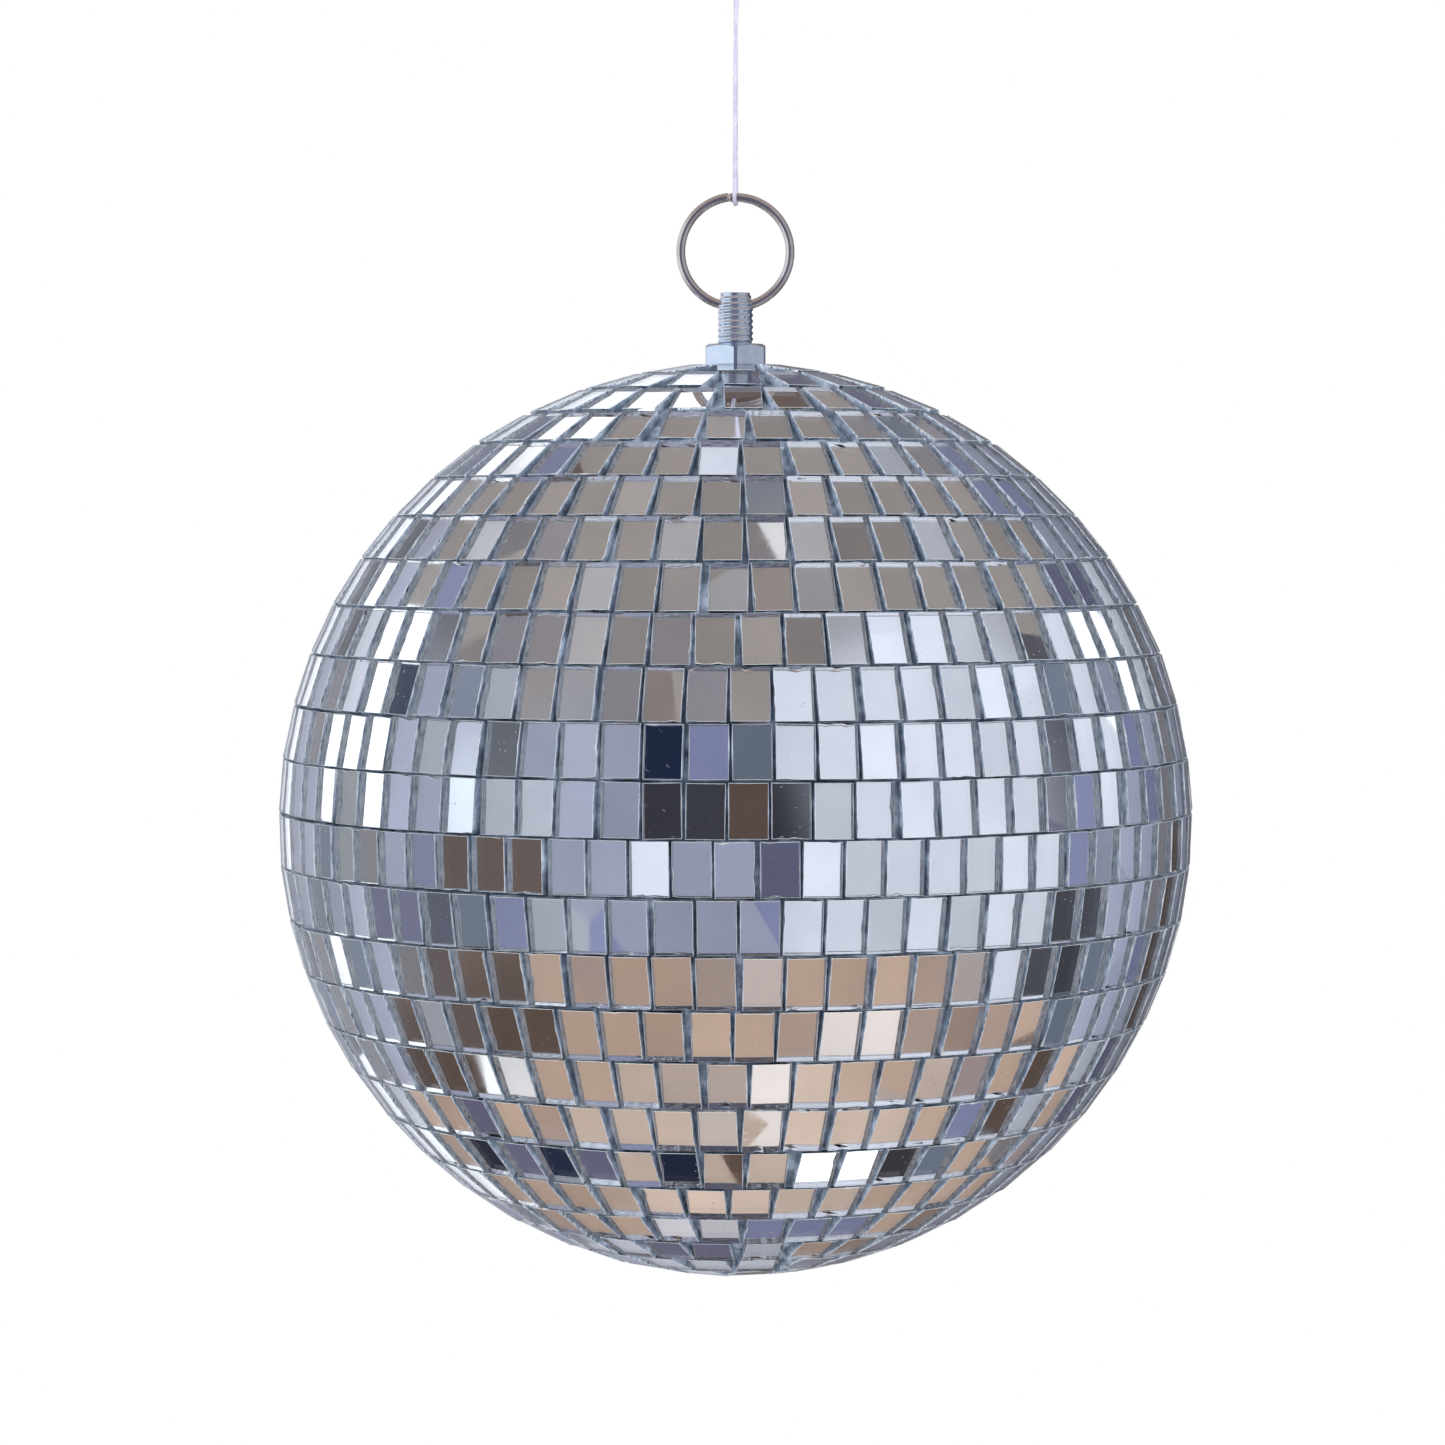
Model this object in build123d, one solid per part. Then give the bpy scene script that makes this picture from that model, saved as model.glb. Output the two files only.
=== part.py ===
# Mirror ball hung on a nylon line.
# Millimetres, +Z up.  Heights are laid out from the ball's centre, and every piece is lowered by DROP
# when it is written, so the origin lies on the ceiling face that the hook is screwed to.
import os
from math import atan, cos, degrees, floor, pi, radians, sin, sqrt

from build123d import *

# Driving dimensions
BALL_R = 76.2  # over the corners of the tiles: a 6 inch ball
DROP = 178.0  # from the ceiling face down to the ball's centre

# Tiles
TILE_W = 6.0
TILE_H = 8.5
GLASS = 1.3
NARROW_GAP = 0.42  # between the tiles of one strip, at their backs
MEAN_GAP = 0.48  # the same, averaged over a whole row
TOP_LAT = 85.3  # latitude of the first row's upper edge, round the nut
TOP_ROWS = 4  # the rows nearest the nut are laid further apart
TOP_PITCH = 7.5
ROW_PITCH = 6.75
ROWS = 25
ROW_TURN = 137.5  # each row starts this many degrees round from the one above
SHORTEST_STRIP = 3  # tiles are laid in strips of 3 to 7
STRIP_SIZES = 5

# Core and adhesive
FACE_R = sqrt(BALL_R**2 - (TILE_W / 2) ** 2 - (TILE_H / 2) ** 2)
BED_R = FACE_R - GLASS
BED = 0.7
CORE_R = BED_R - BED
CORE_WALL = 2.4
SPIGOT_DEPTH = 5.0
SPIGOT_R = CORE_R - 1.3
SPIGOT_WALL = 1.4
SPIGOT_GAP = 0.05
BOSS_R = 11.0
BOSS_BOTTOM = 66.5
RIBS = 6
RIB_T = 1.6
RIB_LENGTH = 16.0
RIB_DEPTH = 5.0

# Fittings: an M6 stud, its nuts and its washers
STUD_R = 2.95
STUD_TOP = 87.7
STUD_LENGTH = 30.0
STUD_TIP_R = 2.5
STUD_TIP = 2.3
STUD_CHAMFER = 0.7
STUD_HOLE_R = 3.2
NUT_AF = 10.0
NUT_H = 5.0
NUT_CHAMFER = 0.45
NUT_BASE = 74.2
PAD_R = 6.2
BED_HOLE_R = 6.45
WASHER_R = 9.0
WASHER_T = 1.6
SPRING_R = 4.9
SPRING_T = 1.5
SPRING_SLIT = 1.0

# Ring, which passes through the stud's cross hole
RING_R = 9.1
WIRE_R = 0.75
RING_Z = 94.5
RING_SLIT = 0.15
RING_SLIT_ANGLE = 97.0
CROSS_HOLE_R = 1.5
CROSS_HOLE_Z = RING_Z - RING_R - 0.25  # the ball hangs on the ring, so the wire lies high in the hole
CROSS_HOLE_MOUTH = 0.3

# Nylon line
LINE_R = 0.325
TWIST_Z = 146.0  # where the lower line turns against the upper one
LOWER_KNOT_Z = 140.8
UPPER_KNOT_Z = 150.6
KNOT_R = 1.15
KNOT_H = 3.2

# Ceiling hook
HOOK_WIRE_R = 1.3
HOOK_R = 5.5
HOOK_Z = 164.5
HOOK_BEND = 60.0
HOOK_SWEEP = 255.0
COLLAR_R = 6.0
COLLAR_T = 1.5
SCREW_R = 1.5
SCREW_LENGTH = 12.0
SCREW_TIP = 3.0

BIG = 4 * BALL_R


def upright(radius, low, high):
    """A cylinder on the ball's axis between two heights."""
    return Pos(0, 0, (low + high) / 2) * Cylinder(radius, high - low)


def turned(outline):
    """A solid of revolution about the ball's axis, from points of radius and height."""
    with BuildPart() as made:
        with BuildSketch(Plane.XZ):
            with BuildLine():
                Polyline(*outline, close=True)
            make_face()
        revolve(axis=Axis.Z)
    return made.part


def hex_nut(base):
    """An M6 nut, chamfered at both ends, with one corner towards the front."""
    corner = NUT_AF / 2 / cos(radians(30))
    blank = Pos(0, 0, base) * extrude(RegularPolygon(corner, 6, rotation=30), NUT_H)
    flat = NUT_AF / 2 * 0.97
    top = base + NUT_H
    envelope = turned(
        [
            (0, base),
            (flat, base),
            (corner, base + NUT_CHAMFER),
            (corner, top - NUT_CHAMFER),
            (flat, top),
            (0, top),
        ]
    )
    return (blank & envelope) - upright(STUD_R, base - 1, top + 1)


# Core ---------------------------------------------------------------------------------------------


def core_shell():
    return Sphere(CORE_R) - Sphere(CORE_R - CORE_WALL)


def core_upper():
    """The upper half: a boss and ribs inside the pole, a nut pad outside it, a spigot at the rim."""
    inner = CORE_R - CORE_WALL
    upper = core_shell() & Pos(0, 0, BIG / 2) * Box(BIG, BIG, BIG)
    spigot = upright(SPIGOT_R, 0.2 - SPIGOT_DEPTH, 2.0) - upright(
        SPIGOT_R - SPIGOT_WALL, -SPIGOT_DEPTH, 2.0
    )
    boss = upright(BOSS_R, BOSS_BOTTOM, NUT_BASE) & Sphere(CORE_R - CORE_WALL / 2)
    upper = upper + spigot + boss + upright(PAD_R, NUT_BASE - 2, NUT_BASE)
    for k in range(RIBS):
        rib = Pos(BOSS_R - 1 + RIB_LENGTH / 2, 0, inner - RIB_DEPTH / 2) * Box(
            RIB_LENGTH, RIB_T, 2 * RIB_DEPTH
        )
        rib = rib & Sphere(CORE_R - CORE_WALL / 2)
        upper = upper + Rot(0, 0, 360 / RIBS * k) * rib
    return upper - upright(STUD_HOLE_R, BOSS_BOTTOM - 1, NUT_BASE + 1)


def core_lower():
    """The lower half, with a recess round its rim that takes the spigot."""
    lower = core_shell() & Pos(0, 0, -BIG / 2) * Box(BIG, BIG, BIG)
    return lower - upright(SPIGOT_R + SPIGOT_GAP, -SPIGOT_DEPTH, 1)


def adhesive_bed():
    """The layer of glue between core and tiles, open round the nut."""
    return Sphere(BED_R) - Sphere(CORE_R) - upright(BED_HOLE_R, 0, BALL_R)


# Tiles --------------------------------------------------------------------------------------------


def row_edges():
    """Upper and lower latitude of each row, from the nut down."""
    edges = [TOP_LAT]
    for row in range(ROWS):
        edges.append(edges[-1] - (TOP_PITCH if row < TOP_ROWS else ROW_PITCH))
    return list(zip(edges, edges[1:]))


def tile_angles(row, latitude):
    """Where a row's tiles stand round the axis: strips with narrow gaps, and wider gaps between."""
    edge_r = BED_R * cos(radians(latitude)) - TILE_H / 2 * sin(radians(abs(latitude)))
    count = floor(180 / degrees(atan((TILE_W + MEAN_GAP) / 2 / edge_r)))
    step = 2 * degrees(atan((TILE_W + NARROW_GAP) / 2 / edge_r))
    starts = []
    at = 0
    while at < count:
        starts.append(at)
        at += SHORTEST_STRIP + (7 * row + 3 * len(starts) * len(starts)) % STRIP_SIZES
    spare = (360 - count * step) / len(starts)
    angle = ROW_TURN * row
    angles = []
    for k in range(count):
        angle += step + (spare if k in starts else 0)
        angles.append(angle % 360)
    return angles


def tile_row(row, upper, lower):
    latitude = (upper + lower) / 2
    tile = Rot(-latitude, 0, 0) * Pos(0, GLASS / 2 - FACE_R, 0) * Box(TILE_W, GLASS, TILE_H)
    return Compound([Rot(0, 0, a) * tile for a in tile_angles(row, latitude)])


def pole_tile():
    return Pos(0, 0, GLASS / 2 - FACE_R) * Box(TILE_W, TILE_W, GLASS)


# Fittings -----------------------------------------------------------------------------------------


def stud():
    """M6 stud, tapered at the top, with the ring's hole drilled across it along X."""
    bottom = STUD_TOP - STUD_LENGTH
    rod = turned(
        [
            (0, bottom),
            (STUD_R - STUD_CHAMFER, bottom),
            (STUD_R, bottom + STUD_CHAMFER),
            (STUD_R, STUD_TOP - STUD_TIP),
            (STUD_TIP_R, STUD_TOP),
            (0, STUD_TOP),
        ]
    )
    across = Pos(0, 0, CROSS_HOLE_Z) * Rot(0, 90, 0)
    rod = rod - across * Cylinder(CROSS_HOLE_R, 4 * STUD_R)
    for side in (-1, 1):
        mouth = Cone(CROSS_HOLE_R, CROSS_HOLE_R + 1.0, 1.0)
        start = STUD_R - CROSS_HOLE_MOUTH
        turn = Rot(0, 90 * side, 0)
        rod = rod - Pos(0, 0, CROSS_HOLE_Z) * turn * Pos(0, 0, start + 0.5) * mouth
    return rod


def washer(radius, top, thickness):
    return upright(radius, top - thickness, top) - upright(STUD_HOLE_R, 0, top + 1)


def spring_washer(top):
    slit = Pos(SPRING_R, 0, top) * Rot(20, 0, 0) * Box(2 * SPRING_R - 2, SPRING_SLIT, 4 * SPRING_T)
    return washer(SPRING_R, top, SPRING_T) - slit


def wire_ring():
    """The ring, bent from round wire, with its two ends butted at the top beside the line."""
    ring = Pos(0, 0, RING_Z) * Rot(90, 0, 0) * Torus(RING_R, WIRE_R)
    slit = Pos(RING_R, 0, 0) * Box(4 * WIRE_R, 4 * WIRE_R, RING_SLIT)
    return ring - Pos(0, 0, RING_Z) * Rot(0, -RING_SLIT_ANGLE, 0) * slit


# Line ---------------------------------------------------------------------------------------------


def line_tube(name, route, radii):
    """A tube of straight runs joined by tangent arcs, one radius for each corner."""
    with BuildPart() as tube:
        with BuildLine():
            path = FilletPolyline(*route, radius=radii)
        with BuildSketch(Plane(origin=path @ 0, z_dir=path % 0)):
            Circle(LINE_R)
        sweep()
    section = pi * LINE_R**2
    print(name, "radii", radii, "length", round(path.length, 2), end=" ")
    print("volume over section times length", round(tube.part.volume / path.length / section, 4))
    return tube.part


def lower_line():
    """Down from the twist, through the knot, round the ring's top, back to the knot, and its tail."""
    ring_top = RING_Z + RING_R
    turn = WIRE_R + LINE_R + 0.145
    route = [
        (0, 0, TWIST_Z),
        (0, 0, TWIST_Z - 2),
        (0, 0.37, LOWER_KNOT_Z + 0.6),
        (0.22, turn, ring_top - turn),
        (-0.22, -turn, ring_top - turn),
        (0, -0.37, LOWER_KNOT_Z),
        (1.5, -1.1, LOWER_KNOT_Z + 2.4),
    ]
    return line_tube("lower line", route, [4.0, 4.0, turn - 0.05, turn - 0.05, 1.0])


def upper_line():
    """Up from the twist, through the knot, over the hook, back to the knot, and its tail."""
    hook_bar = HOOK_Z - HOOK_R
    turn = HOOK_WIRE_R + LINE_R + 0.375
    route = [
        (0, 0, TWIST_Z),
        (0, 0, TWIST_Z + 2),
        (0, -0.37, UPPER_KNOT_Z - 0.6),
        (0, -turn, hook_bar + turn),
        (0, turn, hook_bar + turn),
        (0, 0.37, UPPER_KNOT_Z),
        (-1.5, 1.1, UPPER_KNOT_Z - 2.4),
    ]
    return line_tube("upper line", route, [4.0, 4.0, 1.65, 1.65, 1.0])


def knot(height):
    """The outer shape of a tied knot: a short barrel with rounded ends."""
    barrel = upright(KNOT_R, height - KNOT_H / 2, height + KNOT_H / 2)
    return fillet(barrel.edges(), KNOT_R * 0.7)


# Hook ---------------------------------------------------------------------------------------------


def ceiling_hook():
    """A screw hook: collar against the ceiling, shank, and a bow that ends open on the left."""
    bend_top = HOOK_Z + 2 * HOOK_R * sin(radians(HOOK_BEND))
    with BuildPart() as bent:
        with BuildLine(Plane.XZ):
            shank = Line((0, DROP - COLLAR_T / 2), (0, bend_top))
            neck = JernArc(shank @ 1, shank % 1, HOOK_R, HOOK_BEND)
            bow = JernArc(neck @ 1, neck % 1, HOOK_R, -HOOK_SWEEP)
        with BuildSketch(Plane(origin=shank @ 0, z_dir=shank % 0)):
            Circle(HOOK_WIRE_R)
        sweep()
    tip = bent.part + Pos(bow @ 1) * Sphere(HOOK_WIRE_R)
    screw = turned(
        [
            (0, DROP - COLLAR_T),
            (COLLAR_R, DROP - COLLAR_T),
            (COLLAR_R, DROP),
            (SCREW_R, DROP),
            (SCREW_R, DROP + SCREW_LENGTH),
            (0, DROP + SCREW_LENGTH + SCREW_TIP),
        ]
    )
    return tip + screw


# Writing ------------------------------------------------------------------------------------------


def write(name, shape):
    export_step(shape.moved(Location((0, 0, -DROP))), f"parts/{name}.step")


os.makedirs("parts", exist_ok=True)

write("core_upper", core_upper())
write("core_lower", core_lower())
write("adhesive_bed", adhesive_bed())

for row, (upper, lower) in enumerate(row_edges()):
    write(f"tile_row_{row + 1:02d}", tile_row(row, upper, lower))
write("pole_tile", pole_tile())

write("stud", stud())
write("outer_nut", hex_nut(NUT_BASE))
write("inner_washer", washer(WASHER_R, BOSS_BOTTOM, WASHER_T))
write("spring_washer", spring_washer(BOSS_BOTTOM - WASHER_T))
write("inner_nut", hex_nut(BOSS_BOTTOM - WASHER_T - SPRING_T - NUT_H))

write("ring", wire_ring())
write("line_lower", lower_line())
write("line_upper", upper_line())
write("lower_knot", knot(LOWER_KNOT_Z))
write("upper_knot", knot(UPPER_KNOT_Z))
write("ceiling_hook", ceiling_hook())
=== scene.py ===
import random
from math import atan2, cos, hypot, pi, radians, sin, sqrt, tan

import bmesh
import bpy
from mathutils import Matrix, Vector, noise


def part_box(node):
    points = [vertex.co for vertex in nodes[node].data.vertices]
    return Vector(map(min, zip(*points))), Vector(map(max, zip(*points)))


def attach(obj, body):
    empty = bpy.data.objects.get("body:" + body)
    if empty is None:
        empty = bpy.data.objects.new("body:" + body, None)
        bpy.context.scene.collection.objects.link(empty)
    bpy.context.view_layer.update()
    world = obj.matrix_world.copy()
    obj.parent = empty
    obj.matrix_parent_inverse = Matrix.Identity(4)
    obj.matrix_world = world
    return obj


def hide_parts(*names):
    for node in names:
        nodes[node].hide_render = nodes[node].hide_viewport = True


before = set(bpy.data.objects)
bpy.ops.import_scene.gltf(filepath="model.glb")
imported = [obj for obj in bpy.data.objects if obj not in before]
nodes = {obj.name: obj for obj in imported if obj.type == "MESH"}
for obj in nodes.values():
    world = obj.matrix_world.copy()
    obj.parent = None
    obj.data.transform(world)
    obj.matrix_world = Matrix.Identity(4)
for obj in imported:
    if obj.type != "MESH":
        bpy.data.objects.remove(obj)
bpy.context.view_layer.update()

MM = 0.001

# Driving dimensions, from the imported parts
core_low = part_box("core_lower")[0]
BALL = Vector((0, 0, core_low.z - core_low.x))
BED_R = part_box("adhesive_bed")[1].x
stud_low, stud_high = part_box("stud")
ring_low, ring_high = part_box("ring")
hook_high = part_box("ceiling_hook")[1]
WIRE_R = (ring_high.y - ring_low.y) / 2
RING_R = (ring_high.x - ring_low.x) / 2 - WIRE_R
RING = (ring_low + ring_high) / 2


# Camera -------------------------------------------------------------------------------------------

CAMERA_DISTANCE = 0.7583  # from the ball's middle, and the rise above it
CAMERA_RISE = 0.0513
CAMERA_PITCH = -2.66  # degrees
CAMERA_YAW = 0.163

scene = bpy.context.scene
scene.view_settings.view_transform = "Standard"
camera = bpy.data.objects.new("camera", bpy.data.cameras.new("camera"))
scene.collection.objects.link(camera)
camera.data.lens = 113.0
camera.data.sensor_width = 36.0
camera.data.clip_start = 0.01
camera.location = BALL + Vector((0, -CAMERA_DISTANCE, CAMERA_RISE))
camera.rotation_euler = (radians(90 + CAMERA_PITCH), 0, radians(CAMERA_YAW))
scene.camera = camera


# Node helpers -------------------------------------------------------------------------------------


def linear(colour):
    """An sRGB colour, 0 to 255, as linear light."""
    found = []
    for value in colour:
        share = value / 255
        found.append(share / 12.92 if share <= 0.04045 else ((share + 0.055) / 1.055) ** 2.4)
    return (*found, 1.0)


class Graph:
    """A node tree, with short ways to add nodes and join them."""

    def __init__(self, owner):
        owner.use_nodes = True
        self.tree = owner.node_tree
        self.tree.nodes.clear()

    def add(self, kind, inputs=None, **settings):
        node = self.tree.nodes.new("ShaderNode" + kind)
        for key, value in settings.items():
            setattr(node, key, value)
        for key, value in (inputs or {}).items():
            self.set(node.inputs[key], value)
        return node

    def set(self, socket, value):
        if isinstance(value, bpy.types.NodeSocket):
            self.tree.links.new(value, socket)
        else:
            socket.default_value = value

    def math(self, operation, *values):
        return self.add("Math", dict(enumerate(values)), operation=operation).outputs[0]

    def ramp(self, value, stops, interpolation="LINEAR"):
        """A colour ramp from (position, linear colour) stops."""
        node = self.add("ValToRGB", {0: value})
        elements = node.color_ramp.elements
        node.color_ramp.interpolation = interpolation
        elements[0].position, elements[0].color = stops[0]
        elements[1].position, elements[1].color = stops[-1]
        for position, colour in stops[1:-1]:
            elements.new(position).color = colour
        return node.outputs[0]

    def blend(self, share, first, second):
        return self.add("Mix", {0: share, 6: first, 7: second}, data_type="RGBA").outputs[2]

    def between(self, value, low, high):
        """0 where value is at low, 1 where it is at high, with a smooth step from one to the other."""
        inputs = {0: value, 1: low, 2: high}
        return self.add("MapRange", inputs, interpolation_type="SMOOTHSTEP").outputs[0]

    def window(self, value, low, high, soft):
        """1 where value lies between low and high, 0 outside."""
        above = self.between(value, low - soft, low + soft)
        return self.math("MULTIPLY", above, self.between(value, high + soft, high - soft))

    def scaled(self, value, low, high, to_low, to_high):
        return self.add("MapRange", {0: value, 1: low, 2: high, 3: to_low, 4: to_high}).outputs[0]

    def position(self):
        return self.add("TexCoord").outputs["Object"]

    def noise(self, scale, detail=3.0, roughness=0.5, vector=None):
        inputs = {"Scale": scale, "Detail": detail, "Roughness": roughness}
        inputs["Vector"] = vector or self.position()
        return self.add("TexNoise", inputs).outputs[0]

    def stretched(self, scale):
        return self.add("Mapping", {"Vector": self.position(), "Scale": scale}).outputs[0]

    def bump(self, height, distance, strength=1.0):
        inputs = {"Strength": strength, "Distance": distance, "Height": height}
        return self.add("Bump", inputs).outputs[0]


def material(name, build, **constants):
    """A Principled material: build(graph) returns its patterned inputs, constants are the rest."""
    made = bpy.data.materials.new(name)
    graph = Graph(made)
    shader = graph.add("BsdfPrincipled")
    output = graph.add("OutputMaterial")
    graph.tree.links.new(shader.outputs[0], output.inputs[0])
    for key, value in {**constants, **build(graph)}.items():
        graph.set(shader.inputs[key.replace("_", " ")], value)
    return made


# Studio -------------------------------------------------------------------------------------------

BRIGHT = (318, 320, 326)
WINDOW = (224, 227, 240)
SKYLIT = (238, 248, 262)
SILVER = (178, 182, 194)
LAVENDER = (163, 166, 188)
LILAC = (128, 132, 166)
DUSK = (102, 102, 128)
STEEL = (108, 118, 134)
GREY = (126, 122, 126)
CHARCOAL = (56, 56, 62)
NAVY = (26, 38, 62)
TAUPE = (154, 145, 141)
UMBER = (92, 76, 68)
TAN = (196, 168, 150)
BEIGE = (214, 190, 174)

# Broad soft cards round the ball, which the mirrors show: (left, right, low, high, colour), in degrees
# of azimuth and elevation.  Azimuth 0 is the camera's side, and 90 is its right.
WALL = LAVENDER
CARDS = [
    (-190, 190, 30, 95, TAUPE),  # ceiling
    (-190, 190, -95, -30, TAN),  # floor
    (-190, 190, -95, -60, BEIGE),  # floor close below
    (-190, -150, -30, 45, BRIGHT),  # lamps on the left
    (-125, -95, -10, 30, BRIGHT),
    (-75, -45, 0, 15, SKYLIT),
    (-90, -45, -30, 0, LILAC),  # wall in shade
    (-130, -60, -50, -30, UMBER),  # low bench
    (-20, 15, 0, 30, CHARCOAL),  # dark opening ahead
    (15, 90, -30, 45, WINDOW),  # large white card on the right
    (90, 105, -30, 30, CHARCOAL),  # its dark edge
]
CARD_SOFT = 1.5  # half the width of a card's soft edge, in degrees

# A patchwork of shades over the cards, so that neighbouring tiles differ as they do in a furnished room
PATCH_SHADES = [NAVY, GREY, UMBER, STEEL, CHARCOAL, DUSK, SILVER, LILAC, WINDOW, BRIGHT]
PATCH_SCALE = 6.5
PATCH_SQUEEZE = 0.7  # below 1, it makes patches taller than they are wide
PATCH_DRAW = 4.0  # the draw of the patchwork
PATCH_STRONG = 0.5  # patches drawn above this cover what lies under them
PATCH_STEP = 0.12  # how far above that a patch is solid
PATCH_SHADING = (0.84, 1.14)  # the least and most that a patch's light is multiplied by
STEEP_CALM = 0.7  # how far the patches fade on the floor and ceiling cards
STEEP = (26, 34)  # elevations between which that sets in
CALM_AHEAD = (110, 90)  # azimuths to either side: no calm past the first, all of it within the second
RIPPLE = 2.5  # how far the cards' edges wander, in degrees
MOTTLE = (0.8, 1.2)  # the same, for a mottle over all the cards

# Broad soft cards that the metal fittings reflect: bright from the left, dark ahead, duller on the right
METAL_CARDS = [
    (-180, SILVER), (-150, WINDOW), (-112, SKYLIT), (-34, DUSK), (20, SILVER), (100, STEEL),
    (132, CHARCOAL), (164, GREY),
]
METAL_SOFT = 7
METAL_SKY = (176, 166, 163)
METAL_SKY_RISE = (22, 50)  # elevations between which it comes in
METAL_GROUND = (104, 92, 88)
METAL_GROUND_FALL = (-18, -45)
FILL_COLOUR = (243, 247, 255)
FILL_LIGHT = 1.15  # the even light that matt surfaces get, glue between the tiles among them


def card_stops(cards, soft):
    """Ramp stops that hold each card's colour, with a soft step from one card to the next."""
    stops = [(0.0, linear(cards[0][1]))]
    for before, after in zip(cards, cards[1:]):
        stops.append(((after[0] - soft + 180) / 360, linear(before[1])))
        stops.append(((after[0] + soft + 180) / 360, linear(after[1])))
    return stops


def directions(graph, direction):
    """Azimuth and elevation in degrees, with a slight ripple so that no card's edge is ruled."""
    axes = graph.add("SeparateXYZ", {0: direction}).outputs
    ripple = graph.noise(3.0, 2.0, 0.6, direction)
    azimuth = graph.math("ARCTAN2", axes[0], graph.math("MULTIPLY", axes[1], -1.0))
    azimuth = graph.math("MULTIPLY", azimuth, 180 / pi)
    azimuth = graph.math("ADD", azimuth, graph.scaled(ripple, 0, 1, -RIPPLE, RIPPLE))
    elevation = graph.math("MULTIPLY", graph.math("ARCSINE", axes[2]), 180 / pi)
    elevation = graph.math("ADD", elevation, graph.scaled(ripple, 0, 1, RIPPLE, -RIPPLE))
    return azimuth, elevation


def patchwork(graph, direction, colour, calm):
    """The colour with patches of other shades over it, none where calm is 1, and each patch's shading."""
    place = {"Vector": direction, "Location": (PATCH_DRAW, 0, 0), "Scale": (1, 1, PATCH_SQUEEZE)}
    place = graph.add("Mapping", place).outputs[0]
    cells = graph.add("TexVoronoi", {"Vector": place, "Scale": PATCH_SCALE})
    draws = graph.add("SeparateColor", {0: cells.outputs["Color"]}).outputs
    step = 1 / len(PATCH_SHADES)
    shades = [(k * step, linear(shade)) for k, shade in enumerate(PATCH_SHADES)]
    shade = graph.ramp(draws[0], shades, "CONSTANT")
    strong = graph.between(draws[1], PATCH_STRONG, PATCH_STRONG + PATCH_STEP)
    strong = graph.math("MULTIPLY", strong, graph.math("SUBTRACT", 1.0, calm))
    strength = graph.scaled(draws[2], 0, 1, *PATCH_SHADING)
    return graph.blend(strong, colour, shade), strength


def studio():
    """Light and dark cards, which the mirrors show; the camera itself sees plain white behind the ball."""
    world = bpy.data.worlds.new("studio")
    scene.world = world
    graph = Graph(world)
    direction = graph.add("TexCoord").outputs["Generated"]
    azimuth, elevation = directions(graph, direction)
    colour = linear(WALL)
    for left, right, low, high, card in CARDS:
        across = graph.window(azimuth, left, right, CARD_SOFT)
        inside = graph.math("MULTIPLY", across, graph.window(elevation, low, high, CARD_SOFT))
        colour = graph.blend(inside, colour, linear(card))
        if card == WINDOW:  # the large white card stays free of patches
            calm = inside
    steep = graph.between(graph.math("ABSOLUTE", elevation), *STEEP)
    calm = graph.math("MAXIMUM", calm, graph.math("MULTIPLY", steep, STEEP_CALM))
    ahead = graph.between(graph.math("ABSOLUTE", azimuth), *CALM_AHEAD)
    calm = graph.math("MULTIPLY", calm, ahead)
    colour, shading = patchwork(graph, direction, colour, calm)
    mottle = graph.scaled(graph.noise(9.0, 3.0, 0.6, direction), 0.25, 0.75, *MOTTLE)
    mottle = graph.math("MULTIPLY", mottle, shading)
    lit = graph.add("Background", {0: colour, 1: mottle}).outputs[0]
    plain = graph.add("Background", {0: (1, 1, 1, 1), 1: 1.0}).outputs[0]
    fill = graph.add("Background", {0: linear(FILL_COLOUR), 1: FILL_LIGHT}).outputs[0]
    turn = graph.scaled(azimuth, -180, 180, 0, 1)
    broad = graph.ramp(turn, card_stops(METAL_CARDS, METAL_SOFT))
    broad = graph.blend(graph.between(elevation, *METAL_SKY_RISE), broad, linear(METAL_SKY))
    broad = graph.blend(graph.between(elevation, *METAL_GROUND_FALL), broad, linear(METAL_GROUND))
    shine = graph.add("Background", {0: broad, 1: 1.0}).outputs[0]
    path = graph.add("LightPath").outputs
    matt = graph.math("MINIMUM", path["Diffuse Depth"], 1.0)
    through = path["Is Transmission Ray"]  # the tiles are seen through glass, the metal parts are not
    metal = graph.math("MULTIPLY", path["Is Glossy Ray"], graph.math("SUBTRACT", 1.0, through))
    mixed = graph.add("MixShader", {0: metal, 1: lit, 2: shine}).outputs[0]
    mixed = graph.add("MixShader", {0: matt, 1: mixed, 2: fill}).outputs[0]
    mixed = graph.add("MixShader", {0: path["Is Camera Ray"], 1: mixed, 2: plain}).outputs[0]
    graph.add("OutputWorld", {0: mixed})


studio()


def softbox(name, place, size, power):
    """A large soft light that shades the matt surfaces and stays out of the mirrors."""
    light = bpy.data.lights.new(name, "AREA")
    light.shape = "DISK"
    light.size = size
    light.energy = power
    made = bpy.data.objects.new(name, light)
    scene.collection.objects.link(made)
    made.location = BALL + Vector(place)
    made.rotation_euler = (-Vector(place)).to_track_quat("-Z", "Y").to_euler()
    made.visible_camera = False
    made.visible_glossy = False
    made.visible_transmission = False


softbox("light_left", (-1.1, -0.9, 0.9), 1.0, 12.0)
softbox("light_right", (1.2, -0.8, 0.5), 1.0, 9.0)
softbox("light_behind", (0.2, 1.3, 1.0), 1.2, 9.0)


# Mesh helpers -------------------------------------------------------------------------------------


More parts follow.
